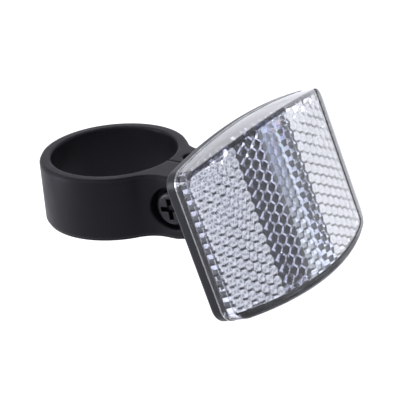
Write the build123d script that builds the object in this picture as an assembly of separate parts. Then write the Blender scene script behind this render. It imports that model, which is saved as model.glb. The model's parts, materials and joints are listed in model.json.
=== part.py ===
from build123d import *
import math
import os

# Bicycle reflector on a tube clamp. Millimetres, +Z along the tube, reflector facing -Y.
# The origin is the centre of the collar's bore at mid height.

# Collar
tube_diameter = 31.8
collar_wall = 2.8
collar_height = 16.1
ear_half_width = 9.3
ear_blend_radius = 8.0
ear_corner_radius = 1.5
land_height = 0.35
land_inset = 0.45
shoulder_radius = 0.6
bore_chamfer = 0.3
slit_width = 0.5

# Lug of the housing, and the recess that it swings in
lug_thickness = 3.6
lug_radius = 4.0
lug_side_clearance = 0.1
lug_edge_clearance = 0.3
recess_wall = 2.3
tilt_limit = 40.0

# Clamp screw
screw_diameter = 4.0
screw_end_inset = 0.2
screw_tip_chamfer = 0.5
head_diameter = 7.6
head_height = 2.8
head_crown_radius = 1.3
cross_turn = 15.0
cross_width = 1.1
cross_length = 4.6
cross_depth = 1.5
counterbore_diameter = 11.0
counterbore_depth = 2.4
collar_hole_clearance = 0.1
pivot_clearance = 0.05

# Square nut and its slot
nut_size = 7.0
nut_thickness = 3.2
nut_thread_clearance = 0.05
nut_corner_clearance = 0.1
nut_side_clearance = 0.6
nut_floor_clearance = 0.05
nut_inner_wall = 1.6

# Reflector head, in its own frame: x across, y up, z out of the face, zero on the seam
face_tilt = 18.14
neck_length = 18.1
head_drop = 4.9
face_width = 59.7
face_end_height = 35.8
face_bulge = 2.8
face_corner_radius = 4.0
housing_depth = 3.0
housing_wall = 1.6
housing_back_radius = 1.0
locating_lip_height = 0.4
locating_lip_thickness = 0.8
lip_clearance = 0.15
foot_width = 15.0
foot_height = 19.0
foot_corner_radius = 2.5
foot_reach = 5.0
neck_height = 9.6
neck_corner_radius = 0.5

# Lens
lens_edge_height = 4.0
lens_crown = 6.2
lens_wall = 1.5
lens_front_wall = 1.9
lens_edge_radius = 0.7
seam_lip_height = 0.4
seam_lip_proud = 0.15

# Corner-cube prisms on hexagonal pins, in five upright panels that look different ways. A panel
# ends at its edge in x. Its pins lean to the side, and their cubes have a turn and a cant.
prism_pitch = 2.65
prism_root = 0.2
prism_wall_overlap = 0.75
panels = (
    dict(edge=-13.8, lean=-38.0, turn=60.0, cant=-37.0),
    dict(edge=-4.6, lean=0.0, turn=0.0, cant=13.0),
    dict(edge=0.0, lean=-25.0, turn=60.0, cant=-22.0),
    dict(edge=6.9, lean=0.0, turn=60.0, cant=-8.0),
    dict(edge=face_width / 2, lean=-28.0, turn=60.0, cant=-28.0),
)

bore_radius = tube_diameter / 2
collar_radius = bore_radius + collar_wall
ear_end_radius = collar_height / 2
screw_reach = bore_radius + recess_wall + lug_edge_clearance + lug_radius
screw_radius = screw_diameter / 2
pivot = Vector(0, -screw_reach, 0)
head_seat = -ear_half_width + counterbore_depth
lug_inner = -slit_width / 2
lug_outer = lug_inner - lug_thickness
nut_slot_width = nut_thickness + 2 * nut_side_clearance
nut_offset = slit_width / 2 + nut_inner_wall + nut_slot_width / 2
half_width = face_width / 2
crown_radius = (half_width**2 + lens_crown**2) / (2 * lens_crown)
crown_centre = lens_edge_height + lens_crown - crown_radius
column_pitch = prism_pitch * math.sqrt(3) / 2
cube_depth = prism_pitch * math.sqrt(2 / 3)
tip_radius = crown_radius - lens_front_wall
pin_length = lens_edge_height + lens_crown

tilt = math.radians(face_tilt)
out_of_face = Vector(0, -math.cos(tilt), math.sin(tilt))
up_the_face = Vector(0, math.sin(tilt), math.cos(tilt))
side_plane = Plane(origin=pivot, x_dir=out_of_face, z_dir=(-1, 0, 0))
head_plane = Plane(
    origin=pivot + out_of_face * (neck_length + housing_depth) - up_the_face * head_drop,
    x_dir=(1, 0, 0),
    z_dir=out_of_face,
)


def rod(radius, start, end):
    """Cylinder on the screw's axis, from one x to another."""
    plane = Plane(origin=pivot + Vector(start, 0, 0), z_dir=(1, 0, 0))
    return extrude(plane * Circle(radius), end - start)


def blade(sketch, start, end):
    """Sketch seen from the side of the pivot, with its x out of the face, made solid along x."""
    return extrude(side_plane.offset(-start) * sketch, start - end)


def collar_plan():
    """Plan of the ring with its two ears flowing out of it."""
    ear_end = screw_reach + ear_end_radius
    ears = Pos(0, -ear_end / 2) * Rectangle(2 * ear_half_width, ear_end)
    plan = Circle(collar_radius) + ears
    roots = plan.vertices().filter_by(lambda v: v.Y > -ear_end + 0.01)
    plan = fillet(roots, ear_blend_radius)
    ends = plan.vertices().filter_by(lambda v: v.Y < -ear_end + 0.01)
    return fillet(ends, ear_corner_radius)


def lug_recess():
    """Recess in the head-side ear that lets the lug swing to both limits."""
    half_height = lug_radius + lug_edge_clearance
    strip = Pos(collar_height, 0) * Rectangle(2 * collar_height, 2 * half_height)
    swing = Circle(half_height) + Pos(collar_height, 0) * Rectangle(2 * collar_height, 1)
    for angle in (-tilt_limit, -tilt_limit / 2, 0, tilt_limit / 2, tilt_limit):
        swing += Rot(0, 0, angle - face_tilt) * strip
    return blade(swing, lug_outer - lug_side_clearance, 0)


def nut_slot():
    """Round-ended slot, open at the top, that the square nut drops into."""
    end_radius = nut_slot_width / 2
    reach = math.sqrt((end_radius - nut_corner_clearance) ** 2 - (nut_thickness / 2) ** 2)
    length = nut_size + nut_slot_width - 2 * reach
    slot = Pos(nut_offset, -screw_reach) * SlotOverall(length, nut_slot_width, rotation=90)
    floor = -nut_size / 2 - nut_floor_clearance
    return extrude(Pos(0, 0, floor) * slot, collar_height)


def make_collar():
    plan = collar_plan()
    body = extrude(plan, ear_end_radius - land_height, both=True)
    rims = body.faces().filter_by(Axis.Z).edges()
    body = fillet(rims, shoulder_radius)
    body += extrude(offset(plan, -land_inset), ear_end_radius, both=True)

    past_screw = Box(
        3 * ear_half_width,
        collar_height,
        2 * collar_height,
        align=(Align.CENTER, Align.MAX, Align.CENTER),
    )
    round_end = rod(ear_end_radius, -2 * ear_half_width, 2 * ear_half_width)
    body -= Pos(*pivot) * past_screw - round_end

    body -= Cylinder(bore_radius, 2 * collar_height)
    bore_rims = body.edges().filter_by(GeomType.CIRCLE).filter_by(
        lambda edge: abs(edge.radius - bore_radius) < 0.01
    )
    body = chamfer(bore_rims, bore_chamfer)
    slit = Box(
        slit_width,
        screw_reach + collar_height,
        2 * collar_height,
        align=(Align.CENTER, Align.MAX, Align.CENTER),
    )
    body -= slit

    body -= rod(screw_radius + collar_hole_clearance, -2 * ear_half_width, 2 * ear_half_width)
    body -= rod(counterbore_diameter / 2, -2 * ear_half_width, head_seat)
    return body - lug_recess() - nut_slot()


def make_screw():
    face = head_seat - head_height
    head = rod(head_diameter / 2, face, head_seat)
    rim = head.faces().sort_by(Axis.X)[0].edges()
    head = fillet(rim, head_crown_radius)
    for turn in (cross_turn, cross_turn + 90):
        bar = Rot(turn, 0, 0) * Box(2 * cross_depth, cross_length, cross_width)
        head -= Pos(*pivot) * Pos(face, 0, 0) * bar
    shank = rod(screw_radius, head_seat, ear_half_width - screw_end_inset)
    tip = shank.faces().sort_by(Axis.X)[-1].edges()
    return head + chamfer(tip, screw_tip_chamfer)


def make_nut():
    block = Pos(*pivot) * Pos(nut_offset, 0, 0) * Box(nut_thickness, nut_size, nut_size)
    return block - rod(screw_radius + nut_thread_clearance, 0, 2 * ear_half_width)


def face_outline(inset=0.0):
    """Barrel outline of the reflector: straight ends, bowed top and bottom."""
    half_height = face_end_height / 2
    crest = half_height + face_bulge
    right = Line((half_width, -half_height), (half_width, half_height))
    top = ThreePointArc((half_width, half_height), (0, crest), (-half_width, half_height))
    left = Line((-half_width, half_height), (-half_width, -half_height))
    bottom = ThreePointArc((-half_width, -half_height), (0, -crest), (half_width, -half_height))
    barrel = make_face([right, top, left, bottom])
    barrel = fillet(barrel.vertices(), face_corner_radius)
    return offset(barrel, -inset) if inset else barrel


def make_housing():
    shell = extrude(face_outline(), -housing_depth)
    back = shell.faces().sort_by(Axis.Z)[0].edges()
    shell = fillet(back, housing_back_radius)
    lip_inset = lens_wall + lip_clearance
    shell += extrude(face_outline(lip_inset), locating_lip_height)
    hollow = face_outline(lip_inset + locating_lip_thickness)
    shell -= Pos(0, 0, housing_wall - housing_depth) * extrude(hollow, 2 * housing_depth)
    return head_plane * (shell + foot()) + lug()


def foot():
    """Foot that spreads the lug out over the back of the housing."""
    root = RectangleRounded(foot_width, foot_height, foot_corner_radius)
    tip = RectangleRounded(lug_thickness, neck_height, neck_corner_radius)
    lug_middle = (lug_inner + lug_outer) / 2
    root = Pos(0, head_drop, housing_wall / 2 - housing_depth) * root
    tip = Pos(lug_middle, head_drop, -housing_depth - foot_reach) * tip
    return loft([root, tip])


def lug():
    """Flat lug from the foot to the screw."""
    neck = Polyline(
        (0, lug_radius),
        (ear_end_radius, lug_radius),
        (neck_length - foot_reach, neck_height / 2),
        (neck_length, neck_height / 2),
        (neck_length, -neck_height / 2),
        (neck_length - foot_reach, -neck_height / 2),
        (ear_end_radius, -lug_radius),
        (0, -lug_radius),
        close=True,
    )
    profile = make_face(neck) + Circle(lug_radius)
    hole = rod(screw_radius + pivot_clearance, lug_outer - 1, lug_inner + 1)
    return blade(profile, lug_outer, lug_inner) - hole


def crown_height(x, drop=0.0):
    """Height over the seam of the bowed front, or of a surface that lies drop behind it."""
    return crown_centre + math.sqrt((crown_radius - drop) ** 2 - x**2)


def bowed(outline, drop=0.0, floor=0.0):
    """Outline made solid from a floor over the seam to the bowed front, or to drop behind it."""
    bow = Pos(0, 0, crown_centre) * Rot(90, 0, 0) * Cylinder(crown_radius - drop, 2 * face_width)
    return Pos(0, 0, floor) * extrude(outline, lens_edge_height + lens_crown) & bow


def tip_height(x):
    """Height over the seam of the prisms' tips, which follow the bowed front."""
    return crown_height(x, lens_front_wall) - prism_root - cube_depth


def tip_on_line(start, lean):
    """Tip of the pin whose axis leaves the seam at start and leans by an angle in radians."""
    centre = tip_height(0) - tip_radius
    along = start * math.sin(lean) - centre * math.cos(lean)
    length = math.sqrt(along**2 - start**2 - centre**2 + tip_radius**2) - along
    return start + length * math.sin(lean), length * math.cos(lean)


def cube_pin(lean, turn, cant):
    """Leaning hexagonal pin that stands at the origin on its tip, the corner of a turned cube."""
    axis = (math.sin(lean), 0, math.cos(lean))
    hexagon = Pos(-axis[0], 0, -axis[2]) * RegularPolygon(prism_pitch / 2, 6, major_radius=False)
    pin = extrude(hexagon, pin_length, dir=axis)
    size = 2 * pin_length
    cube = Box(size, size, size, align=(Align.MIN, Align.MIN, Align.MIN))
    upright = Rot(0, -math.degrees(math.atan(math.sqrt(2))), 0) * Rot(0, 0, -45) * cube
    return pin & (Rot(0, cant, 0) * Rot(0, 0, turn) * upright)


def prism_columns():
    """Pin and tip of each upright column. The columns of a panel stand side by side, and slide
    along each other to follow the bowed front, as the pins of a moulding tool do."""
    columns = []
    left_side = -half_width + lens_wall
    for panel in panels:
        lean = math.radians(panel["lean"])
        pin = cube_pin(lean, panel["turn"], panel["cant"])
        first = left_side + column_pitch / 2
        start = first - tip_height(first) * math.tan(lean)
        while left_side + column_pitch / 2 < panel["edge"]:
            x, z = tip_on_line(start, lean)
            columns.append((pin, x, z))
            left_side = x + column_pitch / 2
            start += column_pitch
    return columns


def prism_field():
    rows = math.ceil((face_end_height / 2 + face_bulge) / prism_pitch)
    pins = []
    for column, (pin, x, z) in enumerate(prism_columns()):
        stagger = prism_pitch / 2 * (column % 2)
        for row in range(-rows, rows):
            pins.append(Pos(x, row * prism_pitch + stagger, z) * pin)
    field = pins[0].fuse(*pins[1:])
    outline = face_outline(lens_wall - prism_wall_overlap)
    return field & bowed(outline, lens_front_wall / 2, locating_lip_height + lip_clearance)


def make_lens():
    body = bowed(face_outline())
    body = fillet(body.faces().sort_by(Axis.Z)[-1].edges(), lens_edge_radius)
    body += extrude(face_outline(-seam_lip_proud), seam_lip_height)
    body -= bowed(face_outline(lens_wall), lens_front_wall)
    return head_plane * (body + prism_field())


os.makedirs("parts", exist_ok=True)
export_step(make_collar(), "parts/collar.step")
export_step(make_screw(), "parts/clamp_screw.step")
export_step(make_nut(), "parts/clamp_nut.step")
export_step(make_housing(), "parts/housing.step")
export_step(make_lens(), "parts/lens.step")
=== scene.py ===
import bpy
import bmesh
import json
import math
from mathutils import Matrix, Vector


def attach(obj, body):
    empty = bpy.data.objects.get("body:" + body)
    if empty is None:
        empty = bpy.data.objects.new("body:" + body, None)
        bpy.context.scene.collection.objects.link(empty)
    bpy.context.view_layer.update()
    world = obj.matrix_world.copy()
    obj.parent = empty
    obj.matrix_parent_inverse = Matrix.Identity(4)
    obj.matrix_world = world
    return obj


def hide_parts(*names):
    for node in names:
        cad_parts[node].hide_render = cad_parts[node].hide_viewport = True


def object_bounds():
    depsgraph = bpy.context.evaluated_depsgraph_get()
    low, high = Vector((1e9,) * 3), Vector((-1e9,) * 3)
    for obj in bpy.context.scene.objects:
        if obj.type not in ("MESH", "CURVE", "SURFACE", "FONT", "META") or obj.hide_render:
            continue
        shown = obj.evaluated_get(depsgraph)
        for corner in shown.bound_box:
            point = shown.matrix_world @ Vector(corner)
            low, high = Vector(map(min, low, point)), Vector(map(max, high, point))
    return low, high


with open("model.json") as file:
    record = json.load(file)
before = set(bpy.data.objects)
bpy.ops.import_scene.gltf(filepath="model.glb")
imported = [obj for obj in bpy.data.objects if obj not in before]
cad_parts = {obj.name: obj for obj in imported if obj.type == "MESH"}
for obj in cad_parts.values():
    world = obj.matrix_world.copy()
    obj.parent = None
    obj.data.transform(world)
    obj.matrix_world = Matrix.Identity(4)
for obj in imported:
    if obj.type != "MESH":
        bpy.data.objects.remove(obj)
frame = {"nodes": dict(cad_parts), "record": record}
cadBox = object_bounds()
tiltPivot = Vector(frame["record"]["behaviour"]["joints"][0]["pos_m"])
print("frame loaded:", ", ".join(sorted(frame["nodes"])))

# Camera: a long lens, above the collar and to the left of the face
cameraView = {
    "azimuth": -54.82,
    "elevation": 23.79,
    "roll": -5.06,
    "distance": 0.440897,
    "acrossOffset": 0.020688,
    "upOffset": -0.004951,
    "sensorWidth": 36.0,
    "lensLength": 158.55,
    "clipStart": 0.01,
}


def placeCamera(values):
    azimuth = math.radians(values["azimuth"])
    elevation = math.radians(values["elevation"])
    roll = math.radians(values["roll"])
    flat = math.cos(elevation)
    back = Vector((math.sin(azimuth) * flat, -math.cos(azimuth) * flat, math.sin(elevation)))
    level = Vector((math.cos(azimuth), math.sin(azimuth), 0))
    upright = back.cross(level)
    across = math.cos(roll) * level + math.sin(roll) * upright
    upwards = math.cos(roll) * upright - math.sin(roll) * level
    lens = bpy.data.cameras.new("camera")
    lens.sensor_width = values["sensorWidth"]
    lens.lens = values["lensLength"]
    lens.clip_start = values["clipStart"]
    camera = bpy.data.objects.new("camera", lens)
    bpy.context.scene.collection.objects.link(camera)
    place = back * values["distance"] + across * values["acrossOffset"] + upwards * values["upOffset"]
    turned = Matrix((across, upwards, back)).transposed().to_4x4()
    camera.matrix_world = Matrix.Translation(place) @ turned
    bpy.context.scene.camera = camera


placeCamera(cameraView)
bpy.context.scene.view_settings.view_transform = "Standard"
print("camera set")

# Studio: white floor and sky, lamps soft and plain
studio = {
    "floorSize": 4.0,
    "floorDrop": 0.05,
    "floorColor": (0.8, 0.8, 0.8, 1.0),
    "floorGlow": 0.6,
    "castColor": (0.92, 0.935, 1.0, 1.0),
    "skyLight": 0.5,
    "skyWhite": 1.15,
    "lamps": {
        "keyLamp": {"power": 2.2, "size": 0.5, "place": (-0.35, 0.25, 0.75)},
        "fillLamp": {"power": 0.8, "size": 0.6, "place": (0.55, -0.45, 0.5)},
        "edgeLamp": {"power": 2.6, "size": 0.3, "place": (-0.42, 0.52, 0.1)},
    },
}


def seenDirectly(nodes, links):
    # 1 for the rays that show the background: straight, mirrored or through glass
    path = nodes.new("ShaderNodeLightPath")
    shown = path.outputs["Is Camera Ray"]
    for other in ("Is Glossy Ray", "Is Transmission Ray"):
        either = nodes.new("ShaderNodeMath")
        either.operation = "MAXIMUM"
        links.new(shown, either.inputs[0])
        links.new(path.outputs[other], either.inputs[1])
        shown = either.outputs[0]
    return shown


def whiteOrCast(nodes, links, cast):
    # White for the camera, and the light's slightly cool cast for all other rays
    path = nodes.new("ShaderNodeLightPath")
    mix = nodes.new("ShaderNodeMix")
    mix.data_type = "RGBA"
    mix.inputs["A"].default_value = cast
    mix.inputs["B"].default_value = (1, 1, 1, 1)
    links.new(path.outputs["Is Camera Ray"], mix.inputs["Factor"])
    return mix.outputs["Result"]


def makeSky(values):
    world = bpy.data.worlds.new("studioSky")
    bpy.context.scene.world = world
    world.use_nodes = True
    nodes, links = world.node_tree.nodes, world.node_tree.links
    background = nodes["Background"]
    links.new(whiteOrCast(nodes, links, values["castColor"]), background.inputs["Color"])
    strength = nodes.new("ShaderNodeMapRange")
    strength.inputs["To Min"].default_value = values["skyLight"]
    strength.inputs["To Max"].default_value = values["skyWhite"]
    links.new(seenDirectly(nodes, links), strength.inputs["Value"])
    links.new(strength.outputs["Result"], background.inputs["Strength"])


def makeFloor(values):
    low = cadBox[0].z - values["floorDrop"]
    shape = bmesh.new()
    bmesh.ops.create_grid(shape, x_segments=1, y_segments=1, size=values["floorSize"] / 2)
    bmesh.ops.translate(shape, vec=(0, 0, low), verts=shape.verts)
    mesh = bpy.data.meshes.new("floor")
    shape.to_mesh(mesh)
    shape.free()
    floor = bpy.data.objects.new("floor", mesh)
    bpy.context.scene.collection.objects.link(floor)
    mesh.materials.append(makeWhite(values))


def makeWhite(values):
    # Plain white that glows a little to the rays that show the background
    material = bpy.data.materials.new("whiteFloor")
    material.use_nodes = True
    nodes, links = material.node_tree.nodes, material.node_tree.links
    nodes.remove(nodes["Principled BSDF"])
    diffuse = nodes.new("ShaderNodeBsdfDiffuse")
    diffuse.inputs["Color"].default_value = values["floorColor"]
    glow = nodes.new("ShaderNodeEmission")
    links.new(whiteOrCast(nodes, links, values["castColor"]), glow.inputs["Color"])
    strength = nodes.new("ShaderNodeMath")
    strength.operation = "MULTIPLY"
    strength.inputs[1].default_value = values["floorGlow"]
    links.new(seenDirectly(nodes, links), strength.inputs[0])
    links.new(strength.outputs[0], glow.inputs["Strength"])
    total = nodes.new("ShaderNodeAddShader")
    links.new(diffuse.outputs[0], total.inputs[0])
    links.new(glow.outputs[0], total.inputs[1])
    links.new(total.outputs[0], nodes["Material Output"].inputs["Surface"])
    return material


def makeLamp(name, lampValues, cast):
    lamp = bpy.data.lights.new(name, "AREA")
    lamp.energy = lampValues["power"]
    lamp.color = cast[:3]
    lamp.size = lampValues["size"]
    thing = bpy.data.objects.new(name, lamp)
    bpy.context.scene.collection.objects.link(thing)
    place = Vector(lampValues["place"])
    turned = (-place).to_track_quat("-Z", "Y").to_matrix().to_4x4()
    thing.matrix_world = Matrix.Translation(place) @ turned


makeSky(studio)
makeFloor(studio)
for lampName, lampValues in studio["lamps"].items():
    makeLamp(lampName, lampValues, studio["castColor"])
print("studio lit")

# Moulding grain, a shader group that the black and the metal finishes share
grainMaking = {
    "grainScale": 4000.0,
    "grainDetail": 2.0,
    "patchScale": 120.0,
    "patchDetail": 3.0,
    "mixedRange": (0.12, 0.4),
    "smoothest": 0.35,
    "roughest": 0.5,
}


def newGroup(name, inputs, outputs):
    group = bpy.data.node_groups.new(name, "ShaderNodeTree")
    for label, kind, value in inputs:
        socket = group.interface.new_socket(label, in_out="INPUT", socket_type=kind)
        if value is not None:
            socket.default_value = value
    for label, kind in outputs:
        group.interface.new_socket(label, in_out="OUTPUT", socket_type=kind)
    return group, group.nodes.new("NodeGroupInput"), group.nodes.new("NodeGroupOutput")


def makeGrainGroup(values):
    # Fine grain with broad cloudy patches: Value runs from Low to High, Height feeds a Bump
    group, given, result = newGroup(
        "mouldGrain",
        [
            ("Vector", "NodeSocketVector", None),
            ("Grain Scale", "NodeSocketFloat", values["grainScale"]),
            ("Patch Scale", "NodeSocketFloat", values["patchScale"]),
            ("Low", "NodeSocketFloat", values["smoothest"]),
            ("High", "NodeSocketFloat", values["roughest"]),
        ],
        [("Value", "NodeSocketFloat"), ("Height", "NodeSocketFloat")],
    )
    nodes, links = group.nodes, group.links
    mixed = nodes.new("ShaderNodeMath")
    mixed.operation = "MULTIPLY"
    for place, layer in enumerate(("grain", "patch")):
        noise = nodes.new("ShaderNodeTexNoise")
        noise.inputs["Detail"].default_value = values[layer + "Detail"]
        links.new(given.outputs["Vector"], noise.inputs["Vector"])
        links.new(given.outputs[layer.capitalize() + " Scale"], noise.inputs["Scale"])
        links.new(noise.outputs["Fac"], mixed.inputs[place])
        if layer == "grain":
            links.new(noise.outputs["Fac"], result.inputs["Height"])
    spread = nodes.new("ShaderNodeMapRange")
    lowest, highest = values["mixedRange"]
    spread.inputs["From Min"].default_value = lowest
    spread.inputs["From Max"].default_value = highest
    links.new(mixed.outputs[0], spread.inputs["Value"])
    links.new(given.outputs["Low"], spread.inputs["To Min"])
    links.new(given.outputs["High"], spread.inputs["To Max"])
    links.new(spread.outputs["Result"], result.inputs["Value"])
    return group


mouldGrain = makeGrainGroup(grainMaking)
print("grain group made")


# Short forms for the nodes that masks and tints are made of
def join(links, term, socket):
    if isinstance(term, bpy.types.NodeSocket):
        links.new(term, socket)
    else:
        socket.default_value = term


def reckon(nodes, links, operation, *terms):
    node = nodes.new("ShaderNodeMath")
    node.operation = operation
    for socket, term in zip(node.inputs, terms):
        join(links, term, socket)
    return node.outputs[0]


def fade(nodes, links, value, start, end):
    # 0 up to start and 1 past end, smooth between them; end may lie before start
    node = nodes.new("ShaderNodeMapRange")
    node.interpolation_type = "SMOOTHSTEP"
    node.inputs["From Min"].default_value = start
    node.inputs["From Max"].default_value = end
    links.new(value, node.inputs["Value"])
    return node.outputs["Result"]


def between(nodes, links, value, low, high, soft):
    rise = fade(nodes, links, value, low - soft, low + soft)
    fall = fade(nodes, links, value, high + soft, high - soft)
    return reckon(nodes, links, "MULTIPLY", rise, fall)


def tinted(nodes, links, colour, mask, shade):
    # The colour multiplied by the shade where the mask is 1
    node = nodes.new("ShaderNodeMix")
    node.data_type = "RGBA"
    node.blend_type = "MULTIPLY"
    for label, term in (("Factor", mask), ("A", colour), ("B", shade)):
        join(links, term, node.inputs[label])
    return node.outputs["Result"]


def newFinish(name):
    material = bpy.data.materials.new(name)
    material.use_nodes = True
    nodes, links = material.node_tree.nodes, material.node_tree.links
    place = nodes.new("ShaderNodeTexCoord")
    return material, nodes, links, nodes["Principled BSDF"], place.outputs["Object"]


def addGrain(nodes, links, place, values):
    grain = nodes.new("ShaderNodeGroup")
    grain.node_tree = mouldGrain
    grain.inputs["Grain Scale"].default_value = values["grainScale"]
    grain.inputs["Patch Scale"].default_value = values["patchScale"]
    grain.inputs["Low"].default_value = values["smoothest"]
    grain.inputs["High"].default_value = values["roughest"]
    links.new(place, grain.inputs["Vector"])
    edges = nodes.new("ShaderNodeBevel")
    edges.samples = values["edgeSamples"]
    edges.inputs["Radius"].default_value = values["edgeRadius"]
    bump = nodes.new("ShaderNodeBump")
    bump.inputs["Strength"].default_value = values["bumpStrength"]
    bump.inputs["Distance"].default_value = values["bumpHeight"]
    links.new(edges.outputs["Normal"], bump.inputs["Normal"])
    links.new(grain.outputs["Height"], bump.inputs["Height"])
    return grain.outputs["Value"], bump.outputs["Normal"]


def makeGrained(values):
    # Grain, and a colour that drifts between dark and pale
    material, nodes, links, surface, place = newFinish(values["name"])
    rough, normal = addGrain(nodes, links, place, values)
    tone = nodes.new("ShaderNodeTexNoise")
    tone.inputs["Scale"].default_value = values["patchScale"]
    links.new(place, tone.inputs["Vector"])
    colour = nodes.new("ShaderNodeMix")
    colour.data_type = "RGBA"
    colour.inputs["A"].default_value = values["darkColor"]
    colour.inputs["B"].default_value = values["paleColor"]
    links.new(tone.outputs["Fac"], colour.inputs["Factor"])
    links.new(colour.outputs["Result"], surface.inputs["Base Color"])
    links.new(rough, surface.inputs["Roughness"])
    links.new(normal, surface.inputs["Normal"])
    return material, surface


# Black mouldings: the collar and the reflector's back shell
collarFinish = {
    "name": "blackMoulding",
    "darkColor": (0.0055, 0.005, 0.0064, 1),
    "paleColor": (0.0095, 0.0088, 0.0112, 1),
    "specular": 0.14,
    "specularTint": (0.95, 0.9, 1.0, 1),
    "grainScale": 5200.0,
    "patchScale": 160.0,
    "smoothest": 0.36,
    "roughest": 0.5,
    "bumpStrength": 0.25,
    "bumpHeight": 0.00006,
    "edgeRadius": 0.0011,
    "edgeSamples": 6,
}
housingFinish = dict(
    collarFinish,
    name="blackShell",
    darkColor=(0.008, 0.008, 0.0105, 1),
    paleColor=(0.014, 0.014, 0.018, 1),
    specular=0.25,
    specularTint=(0.96, 0.97, 1.0, 1),
    edgeRadius=0.0004,
    smoothest=0.3,
    roughest=0.42,
)


def makeMoulding(values):
    material, surface = makeGrained(values)
    surface.inputs["Specular IOR Level"].default_value = values["specular"]
    surface.inputs["Specular Tint"].default_value = values["specularTint"]
    return material


# Metal: blackened screw, zinc plated nut
screwFinish = {
    "name": "blackScrew",
    "darkColor": (0.02, 0.02, 0.022, 1),
    "paleColor": (0.04, 0.04, 0.043, 1),
    "grainScale": 2600.0,
    "patchScale": 500.0,
    "smoothest": 0.3,
    "roughest": 0.48,
    "bumpStrength": 0.15,
    "bumpHeight": 0.00004,
    "edgeRadius": 0.0003,
    "edgeSamples": 4,
}
nutFinish = {
    "name": "zincNut",
    "darkColor": (0.42, 0.44, 0.47, 1),
    "paleColor": (0.68, 0.68, 0.66, 1),
    "grainScale": 1800.0,
    "patchScale": 350.0,
    "smoothest": 0.22,
    "roughest": 0.42,
    "bumpStrength": 0.12,
    "bumpHeight": 0.00005,
    "edgeRadius": 0.0003,
    "edgeSamples": 4,
}


def makeMetal(values):
    material, surface = makeGrained(values)
    surface.inputs["Metallic"].default_value = 1.0
    return material


# The lens's form as its finish needs it: the tilt in degrees, seamReach and drop in metres, and the
# rest in millimetres
lensShape = {
    "tilt": 18.14,
    "seamReach": 0.0211,
    "drop": 0.0049,
    "halfWidth": 29.85,
    "endHeight": 17.9,
    "bulge": 2.8,
    "edgeDepth": 4.0,
    "crown": 6.2,
    "unitsPerMetre": 1000.0,
}
# Clear acrylic. Distances are in millimetres across, up and out of the face, from the middle of the
# seam; edgeRadius, seamRound and beadHeight are in metres. The prisms give the rows, the columns and
# the order of dark and pale. The net's grey, the violet, the drawn lines and the spots come from these
# values, which were set against the photograph.
# Painted light on the clear lens: the band shades, the violet, the net, the spots, the grid, the rim lines
# and the top line paint the reflections and shade that the prisms give
lensFinish = {
    "name": "clearLens",
    "clearColor": (0.985, 0.985, 1.0, 1),
    "wallShade": (0.92, 0.93, 1.0, 1),
    "ior": 1.49,
    "frontDepth": 0.45,
    "cornerDepth": 0.85,
    "edgeRadius": 0.00012,
    "edgeSamples": 4,
    # Painted shade and painted colour of the returned light, one band at a time across the front
    "paintedBands": {
        "blue": {"reach": (-7.4, 5.0), "shade": (0.88, 0.95, 1.0, 1)},
        "dark": {"reach": (-15.9, -7.4), "shade": (0.68, 0.69, 0.77, 1)},
        "lilac": {"reach": (-40.0, -15.9), "shade": (0.75, 0.765, 0.8, 1)},
    },
    "bandSoftness": 0.5,
    "lineSoftness": 0.3,
    # Painted violet reflection colour on the middle band, growing towards the top
    "violetReach": (-7.4, -2.8),
    "violetFade": (-8.0, 14.0),
    "violetShade": (0.55, 0.65, 1.0, 1),
    # Painted reflection pattern: a net of the prisms' star images, its cells darkened
    "netAngles": (0, 60, 120),
    "netPitch": 1.325,
    "netWidth": (0.12, 0.24),
    "netShade": (0.32, 0.33, 0.37, 1),
    "netRoughness": 0.19,
    # Painted glints: spots of colour at the top of the middle bands
    "sparkReach": (-3.6, 3.2),
    "sparkRows": (12.5, 19.0),
    "sparkScale": 0.62,
    "sparkShare": 0.4,
    "paleReach": (5.2, 40.0),
    "paleRoughness": 0.1,
    # Painted shade lines of a finer prism grid on the pale band
    "gridPitch": 1.325,
    "gridWidth": (0.05, 0.16),
    "gridShade": (0.78, 0.79, 0.84, 1),
    # Painted shade lines inside the right and bottom edges of the front
    "rimSpan": 2.3,
    "rimRound": 1.6,
    "rightRimShare": 2.3,
    "rimTones": (
        (0.0, 0.3),
        (0.15, 0.06),
        (0.42, 0.06),
        (0.5, 0.35),
        (0.68, 0.3),
        (0.76, 0.02),
        (0.9, 0.04),
        (1.0, 1.0),
    ),
    # Painted shade: a dark line just under the top edge of the front
    "topRim": (0.1, 1.2),
    "topRimSoftness": 0.1,
    "topRimShade": (0.05, 0.05, 0.08, 1),
    "beadSpan": (0.35, 1.9),
    "beadSoftness": 0.35,
    "beadHeight": 0.0006,
    "seamTop": 0.42,
    "seamRoughness": 0.25,
    "seamRound": 0.0003,
    "coatIor": 2.45,
    "coatEdge": (1.9, 2.5),
    "topWallReach": 0.15,
    "paleCoat": 0.85,
    "blueCoat": 0.28,
    "violetCoat": 0.5,
}


def lensPlace(nodes, links, place, shape):
    # Distances across, up and out of the face
    tilt = math.radians(shape["tilt"])
    outwards = Vector((0, -math.cos(tilt), math.sin(tilt)))
    upwards = Vector((0, math.sin(tilt), math.cos(tilt)))
    seam = nodes.new("ShaderNodeVectorMath")
    seam.operation = "SUBTRACT"
    seam.inputs[1].default_value = tiltPivot + outwards * shape["seamReach"] - upwards * shape["drop"]
    links.new(place, seam.inputs[0])
    distances = []
    for direction in (Vector((1, 0, 0)), upwards, outwards):
        along = nodes.new("ShaderNodeVectorMath")
        along.operation = "DOT_PRODUCT"
        along.inputs[1].default_value = direction * shape["unitsPerMetre"]
        links.new(seam.outputs["Vector"], along.inputs[0])
        distances.append(along.outputs["Value"])
    return distances


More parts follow.
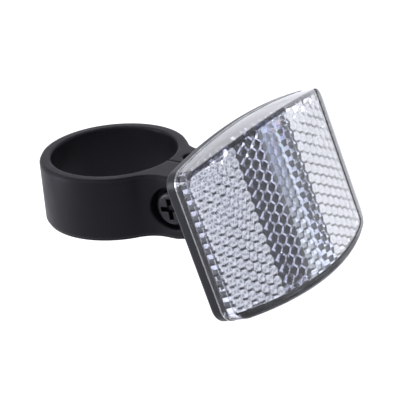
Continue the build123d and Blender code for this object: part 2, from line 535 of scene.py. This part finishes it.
def frontMask(nodes, links, across, out, shape, depth):
    # 1 on the bowed front, which is a part of a cylinder, and 0 deeper down
    half, crown = shape["halfWidth"], shape["crown"]
    radius = (half**2 + crown**2) / (2 * crown)
    centre = shape["edgeDepth"] + crown - radius
    rise = reckon(nodes, links, "SUBTRACT", out, centre)
    squares = reckon(nodes, links, "MULTIPLY", rise, rise)
    squares = reckon(nodes, links, "MULTIPLY_ADD", across, across, squares)
    distance = reckon(nodes, links, "SQRT", squares)
    return reckon(nodes, links, "GREATER_THAN", distance, radius - depth)


def edgeRoom(nodes, links, across, up, shape, rightShare, rounding):
    # Distance to the nearer of the right and bottom edges, and to the top edge
    crest = shape["endHeight"] + shape["bulge"]
    share = reckon(nodes, links, "DIVIDE", across, shape["halfWidth"])
    share = reckon(nodes, links, "MULTIPLY", share, share)
    edge = reckon(nodes, links, "MULTIPLY_ADD", share, -shape["bulge"], crest)
    right = reckon(nodes, links, "SUBTRACT", shape["halfWidth"], across)
    right = reckon(nodes, links, "DIVIDE", right, rightShare)
    bottom = reckon(nodes, links, "ADD", edge, up)
    top = reckon(nodes, links, "SUBTRACT", edge, up)
    return reckon(nodes, links, "SMOOTH_MIN", right, bottom, rounding), top


def measureFace(nodes, links, place, values, shape):
    # Where a point lies on the lens, as the sockets that all its masks are made from
    across, up, out = lensPlace(nodes, links, place, shape)
    room, top = edgeRoom(nodes, links, across, up, shape, values["rightRimShare"], values["rimRound"])
    return {
        "across": across,
        "up": up,
        "room": room,
        "top": top,
        "front": frontMask(nodes, links, across, out, shape, values["frontDepth"]),
        "corner": frontMask(nodes, links, across, out, shape, values["cornerDepth"]),
        "seam": reckon(nodes, links, "LESS_THAN", out, values["seamTop"]),
    }


def bandMask(nodes, links, face, reach, softness):
    mask = between(nodes, links, face["across"], *reach, softness)
    return reckon(nodes, links, "MULTIPLY", mask, face["front"])


def makeMasks(nodes, links, face, values):
    masks = {}
    # Masks for the bands' painted shade and colour
    for name, band in values["paintedBands"].items():
        masks[name] = bandMask(nodes, links, face, band["reach"], values["bandSoftness"])
    # Painted violet reflection, fading in towards the top
    violet = bandMask(nodes, links, face, values["violetReach"], values["bandSoftness"])
    higher = fade(nodes, links, face["up"], *values["violetFade"])
    masks["violet"] = reckon(nodes, links, "MULTIPLY", violet, higher)
    masks["net"] = bandMask(nodes, links, face, values["paintedBands"]["lilac"]["reach"], values["lineSoftness"])
    masks["inside"] = fade(nodes, links, face["room"], *values["coatEdge"])
    pale = bandMask(nodes, links, face, values["paleReach"], values["lineSoftness"])
    masks["pale"] = reckon(nodes, links, "MULTIPLY", pale, masks["inside"])
    # Painted shade under the top edge of the front
    topRim = between(nodes, links, face["top"], *values["topRim"], values["topRimSoftness"])
    masks["topRim"] = reckon(nodes, links, "MULTIPLY", topRim, face["corner"])
    return masks


def paintedStarNet(nodes, links, face, values):
    # 1 in the cells of a net of triangles, 0 on its lines; the cells take the net's painted shade, a
    # pattern of the prisms' star reflections
    nearest = None
    for angle in values["netAngles"]:
        turned = math.radians(angle)
        along = reckon(nodes, links, "MULTIPLY", face["across"], math.sin(turned))
        along = reckon(nodes, links, "MULTIPLY_ADD", face["up"], math.cos(turned), along)
        line = reckon(nodes, links, "PINGPONG", along, values["netPitch"] / 2)
        nearest = line if nearest is None else reckon(nodes, links, "MINIMUM", nearest, line)
    return fade(nodes, links, nearest, *values["netWidth"])


def paintedShadeGrid(nodes, links, face, values):
    # 1 on the lines of an upright grid, 0 in its cells; the lines take a painted shade for the finer
    # prisms' edges
    rows = reckon(nodes, links, "PINGPONG", face["up"], values["gridPitch"] / 2)
    columns = reckon(nodes, links, "PINGPONG", face["across"], values["gridPitch"] / 2)
    nearest = reckon(nodes, links, "MINIMUM", rows, columns)
    return fade(nodes, links, nearest, *reversed(values["gridWidth"]))


def paintedGlints(nodes, links, face, values):
    # Painted glints of colour
    # Drawn spots of colour at the top of the middle bands, as the photograph has there
    spot = nodes.new("ShaderNodeCombineXYZ")
    links.new(face["across"], spot.inputs["X"])
    links.new(face["up"], spot.inputs["Y"])
    sparks = nodes.new("ShaderNodeTexVoronoi")
    sparks.inputs["Scale"].default_value = values["sparkScale"]
    links.new(spot.outputs["Vector"], sparks.inputs["Vector"])
    mask = bandMask(nodes, links, face, values["sparkReach"], values["bandSoftness"])
    rows = between(nodes, links, face["up"], *values["sparkRows"], values["bandSoftness"])
    mask = reckon(nodes, links, "MULTIPLY", mask, rows)
    mask = reckon(nodes, links, "MULTIPLY", mask, values["sparkShare"])
    return mask, sparks.outputs["Color"]


def rimPaintedShade(nodes, links, face, values):
    # Painted shade: light and dark lines inside the right and bottom edges, all of them darkening the front
    tones = nodes.new("ShaderNodeValToRGB")
    ramp = tones.color_ramp
    steps = values["rimTones"]
    for element, (position, tone) in zip(ramp.elements, (steps[0], steps[-1])):
        element.position = position
        element.color = (tone, tone, tone, 1)
    for position, tone in steps[1:-1]:
        ramp.elements.new(position).color = (tone, tone, tone, 1)
    links.new(reckon(nodes, links, "DIVIDE", face["room"], values["rimSpan"]), tones.inputs["Fac"])
    return tones.outputs["Color"]


def lensColour(nodes, links, face, masks, values):
    wall = reckon(nodes, links, "SUBTRACT", 1.0, face["front"])
    cells = reckon(nodes, links, "MULTIPLY", paintedStarNet(nodes, links, face, values), masks["net"])
    grid = reckon(nodes, links, "MULTIPLY", paintedShadeGrid(nodes, links, face, values), masks["pale"])
    # After the wall's tint, each of these paints light or shade on the clear lens
    tints = [
        (wall, values["wallShade"]),
        (cells, values["netShade"]),
        (masks["violet"], values["violetShade"]),
        paintedGlints(nodes, links, face, values),
        (masks["topRim"], values["topRimShade"]),
        (face["front"], rimPaintedShade(nodes, links, face, values)),
        (grid, values["gridShade"]),
    ]
    tints += [(masks[name], band["shade"]) for name, band in values["paintedBands"].items()]
    colour = values["clearColor"]
    for mask, shade in tints:
        colour = tinted(nodes, links, colour, mask, shade)
    return colour


def lensRoughness(nodes, links, face, masks, values):
    rough = reckon(nodes, links, "MULTIPLY", masks["net"], values["netRoughness"])
    rough = reckon(nodes, links, "MULTIPLY_ADD", masks["pale"], values["paleRoughness"], rough)
    return reckon(nodes, links, "MULTIPLY_ADD", face["seam"], values["seamRoughness"], rough)


def lensCoat(nodes, links, face, masks, values):
    # A glossy coat on the top wall, the seam and the paler bands, kept off the rims
    topWall = reckon(nodes, links, "LESS_THAN", face["top"], values["topWallReach"])
    coated = reckon(nodes, links, "MAXIMUM", topWall, face["seam"])
    coated = reckon(nodes, links, "MULTIPLY_ADD", masks["pale"], values["paleCoat"], coated)
    sheen = reckon(nodes, links, "MULTIPLY", masks["blue"], values["blueCoat"])
    sheen = reckon(nodes, links, "MULTIPLY_ADD", masks["violet"], values["violetCoat"], sheen)
    belowRim = reckon(nodes, links, "SUBTRACT", 1.0, masks["topRim"])
    sheen = reckon(nodes, links, "MULTIPLY", sheen, belowRim)
    return reckon(nodes, links, "MULTIPLY_ADD", sheen, masks["inside"], coated)


def lensNormal(nodes, links, face, values):
    # Edges of prisms and seam rounded in the shading, and a bead inside the front's edge
    edges = nodes.new("ShaderNodeBevel")
    edges.samples = values["edgeSamples"]
    rounding = reckon(nodes, links, "MULTIPLY_ADD", face["seam"], values["seamRound"], values["edgeRadius"])
    links.new(rounding, edges.inputs["Radius"])
    height = between(nodes, links, face["room"], *values["beadSpan"], values["beadSoftness"])
    bead = nodes.new("ShaderNodeBump")
    bead.inputs["Distance"].default_value = values["beadHeight"]
    links.new(reckon(nodes, links, "MULTIPLY", height, face["front"]), bead.inputs["Height"])
    links.new(edges.outputs["Normal"], bead.inputs["Normal"])
    return bead.outputs["Normal"]


def makeClear(values, shape):
    material, nodes, links, surface, place = newFinish(values["name"])
    face = measureFace(nodes, links, place, values, shape)
    masks = makeMasks(nodes, links, face, values)
    links.new(lensColour(nodes, links, face, masks, values), surface.inputs["Base Color"])
    links.new(lensRoughness(nodes, links, face, masks, values), surface.inputs["Roughness"])
    links.new(lensCoat(nodes, links, face, masks, values), surface.inputs["Coat Weight"])
    links.new(lensNormal(nodes, links, face, values), surface.inputs["Normal"])
    surface.inputs["Coat IOR"].default_value = values["coatIor"]
    surface.inputs["Transmission Weight"].default_value = 1.0
    surface.inputs["IOR"].default_value = values["ior"]
    return material


# Pieces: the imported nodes' own forms, merged so that their round faces shade smoothly
pieceMaking = {
    "mergeDistance": 0.000001,
    "sharpAngle": 28.0,
}

# The screw's head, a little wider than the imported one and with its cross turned
screwHead = {
    "seat": -0.0069,
    "shankRadius": 0.002,
    "slack": 0.0001,
    "spread": 1.16,
    "turn": -23.0,
}


def shapeHead(shape, values):
    seat, slack = values["seat"], values["slack"]
    chosen = []
    for vert in shape.verts:
        reach = math.hypot(vert.co.y - tiltPivot.y, vert.co.z - tiltPivot.z)
        onShank = reach < values["shankRadius"] + slack and vert.co.x > seat - slack
        if vert.co.x < seat + slack and not onShank:
            chosen.append(vert)
    turned = Matrix.Rotation(math.radians(values["turn"]), 3, "X")
    bmesh.ops.rotate(shape, cent=tiltPivot, matrix=turned, verts=chosen)
    wider = (1, values["spread"], values["spread"])
    bmesh.ops.scale(shape, vec=wider, space=Matrix.Translation(-tiltPivot), verts=chosen)


def bodyOf(nodeName):
    bodies = frame["record"]["behaviour"]["bodies"]
    return next(body for body, members in bodies.items() if nodeName in members)


def smoothPiece(nodeName, pieceName, material, values, reshape=None):
    shape = bmesh.new()
    shape.from_mesh(frame["nodes"][nodeName].data)
    bmesh.ops.remove_doubles(shape, verts=shape.verts, dist=values["mergeDistance"])
    if reshape:
        reshape(shape)
    mesh = bpy.data.meshes.new(pieceName)
    shape.to_mesh(mesh)
    shape.free()
    mesh.attributes.remove(mesh.attributes["custom_normal"])
    mesh.shade_smooth()
    mesh.set_sharp_from_angle(angle=math.radians(values["sharpAngle"]))
    mesh.materials.append(material)
    piece = bpy.data.objects.new(pieceName, mesh)
    bpy.context.scene.collection.objects.link(piece)
    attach(piece, bodyOf(nodeName))
    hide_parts(nodeName)
    print("piece made:", pieceName, len(mesh.polygons), "faces")


smoothPiece("collar", "tube_collar", makeMoulding(collarFinish), pieceMaking)
smoothPiece("housing", "back_shell", makeMoulding(housingFinish), pieceMaking)
smoothPiece(
    "clamp_screw", "pan_head_screw", makeMetal(screwFinish), pieceMaking,
    lambda shape: shapeHead(shape, screwHead),
)
smoothPiece("clamp_nut", "square_nut", makeMetal(nutFinish), pieceMaking)
smoothPiece("lens", "prism_lens", makeClear(lensFinish, lensShape), pieceMaking)
